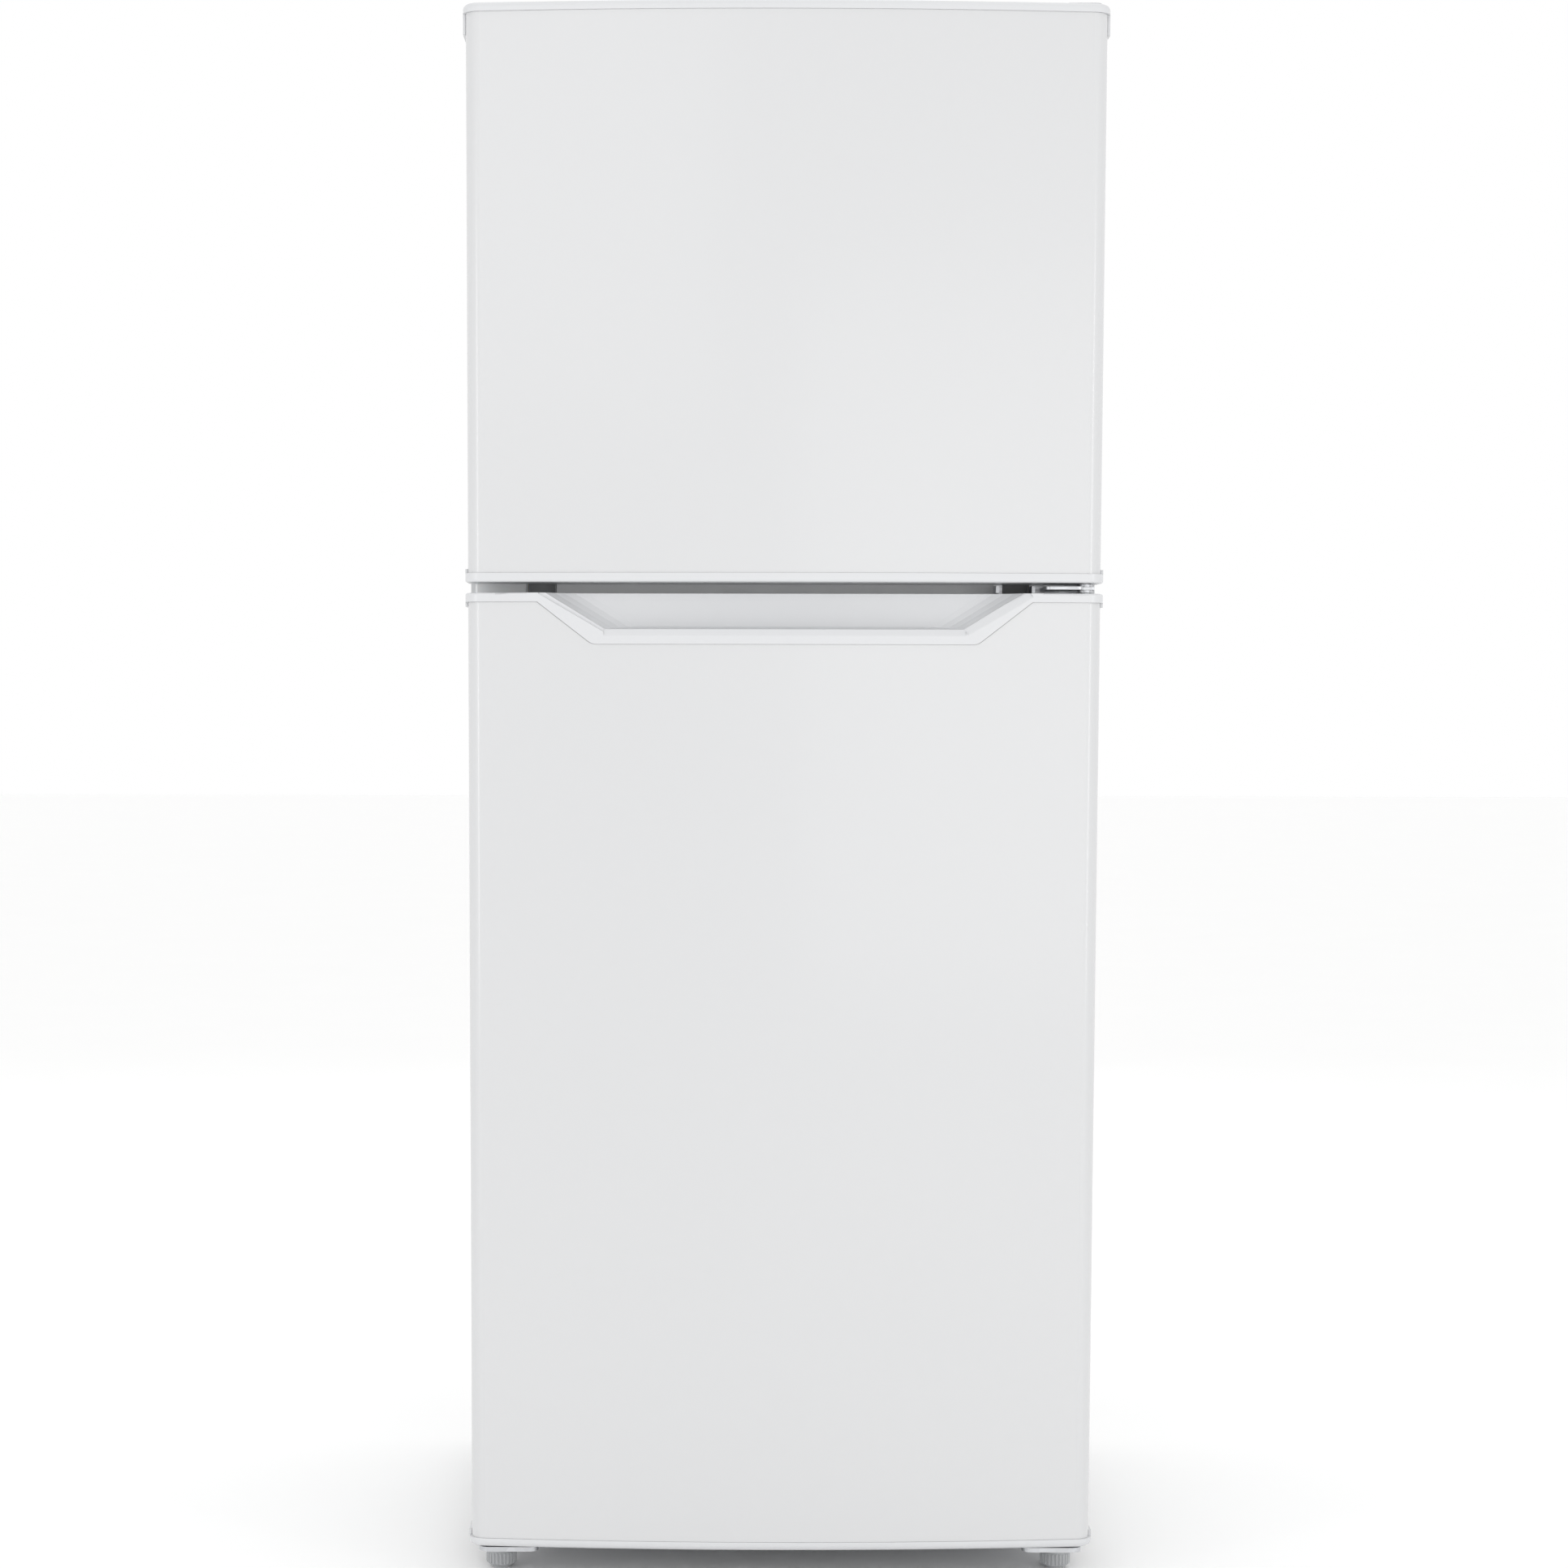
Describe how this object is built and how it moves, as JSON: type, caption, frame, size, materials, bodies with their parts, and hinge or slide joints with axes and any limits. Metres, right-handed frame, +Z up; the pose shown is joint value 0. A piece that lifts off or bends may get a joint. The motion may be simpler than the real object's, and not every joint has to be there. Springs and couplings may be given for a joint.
{
  "type": "top freezer refrigerator",
  "caption": "White apartment-size refrigerator with a freezer above, crowned doors hinged on the right and a scooped hand pocket between them.",
  "frame": {"origin": "on the floor, under the middle of the overall box", "axes": "+Z up, -Y out of the doors' face, +X to the right seen from the front"},
  "size_m": [0.6, 0.65, 1.5],
  "materials": {
    "door_white": "satin",
    "cap_white": "satin",
    "cabinet_white": "satin",
    "plated_steel": "satin",
    "liner_white": "satin",
    "foam": "matte",
    "seal": "matte",
    "grey_plastic": "matte",
    "dark_rubber": "matte",
    "black_paint": "satin",
    "clear_glass": "gloss",
    "clear_plastic": "gloss",
    "aluminium": "satin",
    "copper": "satin",
    "white_wire": "satin",
    "rail_white": "satin"
  },
  "bodies": {
    "cabinet": {"cabinet_shell": "cabinet_white", "back_panel": "plated_steel", "base_frame": "plated_steel", "cabinet_insulation": "foam", "freezer_liner": "liner_white", "fresh_food_liner": "liner_white", "center_rail": "rail_white", "rail_hole_cover": "liner_white", "condenser_tube": "copper", "top_hinge": "plated_steel", "top_hinge_cover": "cap_white", "middle_hinge": "plated_steel", "bottom_hinge": "plated_steel", "left_foot_bracket": "plated_steel", "hinge_screws": "plated_steel", "roller_axles": "plated_steel", "rear_spacers": "grey_plastic", "freezer_shelf": "white_wire", "evaporator_cover": "liner_white", "evaporator": "aluminium", "defrost_heater": "plated_steel", "evaporator_fan_motor": "grey_plastic", "shelf_glass": "clear_glass", "shelf_trims": "liner_white", "shelf_rails": "liner_white", "control_box": "liner_white", "lamp_lens": "clear_plastic", "door_switch": "liner_white", "compressor": "black_paint", "compressor_grommets": "dark_rubber", "compressor_terminal_cover": "grey_plastic", "drip_pan": "grey_plastic", "refrigerant_lines": "copper", "machine_cover": "plated_steel", "cord_grommet": "dark_rubber"},
    "airflow": {"airflow_slider": "grey_plastic"},
    "fan": {"evaporator_fan": "grey_plastic"},
    "crisper": {"crisper_drawer": "clear_plastic"},
    "thermostat": {"thermostat_dial": "liner_white"},
    "switch_plunger": {"door_switch_plunger": "liner_white"},
    "foot_left": {"front_foot_left": "grey_plastic"},
    "foot_right": {"front_foot_right": "grey_plastic"},
    "roller_left": {"rear_roller_left": "grey_plastic"},
    "roller_right": {"rear_roller_right": "grey_plastic"},
    "dairy_flap": {"dairy_lid": "clear_plastic"},
    "freezer_door": {"freezer_door_skin": "door_white", "freezer_door_top_cap": "cap_white", "freezer_door_bottom_cap": "cap_white", "freezer_door_liner": "liner_white", "freezer_door_insulation": "foam", "freezer_door_gasket": "seal", "freezer_door_bins": "clear_plastic"},
    "fridge_door": {"fridge_door_skin": "door_white", "fridge_door_top_cap": "cap_white", "fridge_door_bottom_cap": "cap_white", "fridge_door_liner": "liner_white", "fridge_door_insulation": "foam", "fridge_door_gasket": "seal", "fridge_door_bins": "clear_plastic", "dairy_bin": "liner_white"}
  },
  "joints": [
    {"name": "freezer_door_hinge", "type": "hinge", "parent": "cabinet", "child": "freezer_door", "pos_m": [0.284, -0.287, 1.2], "axis": [0, 0, 1], "range_deg": [0, 130]},
    {"name": "fridge_door_hinge", "type": "hinge", "parent": "cabinet", "child": "fridge_door", "pos_m": [0.284, -0.287, 0.5], "axis": [0, 0, 1], "range_deg": [0, 130]},
    {"name": "crisper_slide", "type": "slide", "parent": "cabinet", "child": "crisper", "axis": [0, -1, 0], "range_m": [0, 0.14]},
    {"name": "switch_plunger_slide", "type": "slide", "parent": "cabinet", "child": "switch_plunger", "axis": [0, -1, 0], "range_m": [0, 0.006]},
    {"name": "dairy_lid_hinge", "type": "hinge", "parent": "fridge_door", "child": "dairy_flap", "pos_m": [0, -0.251, 0.76454], "axis": [1, 0, 0], "range_deg": [0, 80]},
    {"name": "thermostat_turn", "type": "hinge", "parent": "cabinet", "child": "thermostat", "pos_m": [0, -0.11, 0.893], "axis": [0, -1, 0], "range_deg": [0, 270]},
    {"name": "airflow_slide", "type": "slide", "parent": "cabinet", "child": "airflow", "axis": [1, 0, 0], "range_m": [-0.03, 0.03]},
    {"name": "fan_spin", "type": "hinge", "parent": "cabinet", "child": "fan", "pos_m": [0, 0.207, 1.334], "axis": [0, 1, 0], "continuous": true},
    {"name": "foot_left_screw", "type": "slide", "parent": "cabinet", "child": "foot_left", "axis": [0, 0, -1], "range_m": [0, 0.012]},
    {"name": "foot_right_screw", "type": "slide", "parent": "cabinet", "child": "foot_right", "axis": [0, 0, -1], "range_m": [0, 0.012]},
    {"name": "roller_left_spin", "type": "hinge", "parent": "cabinet", "child": "roller_left", "pos_m": [-0.2615, 0.27, 0.017], "axis": [1, 0, 0], "continuous": true},
    {"name": "roller_right_spin", "type": "hinge", "parent": "cabinet", "child": "roller_right", "pos_m": [0.2615, 0.27, 0.017], "axis": [1, 0, 0], "continuous": true}
  ],
  "couplings": [
    {"joint": "crisper_slide", "follows": "fridge_door_hinge", "m_per_rad": 0.06169},
    {"joint": "switch_plunger_slide", "follows": "fridge_door_hinge", "m_per_rad": 0.002643}
  ]
}
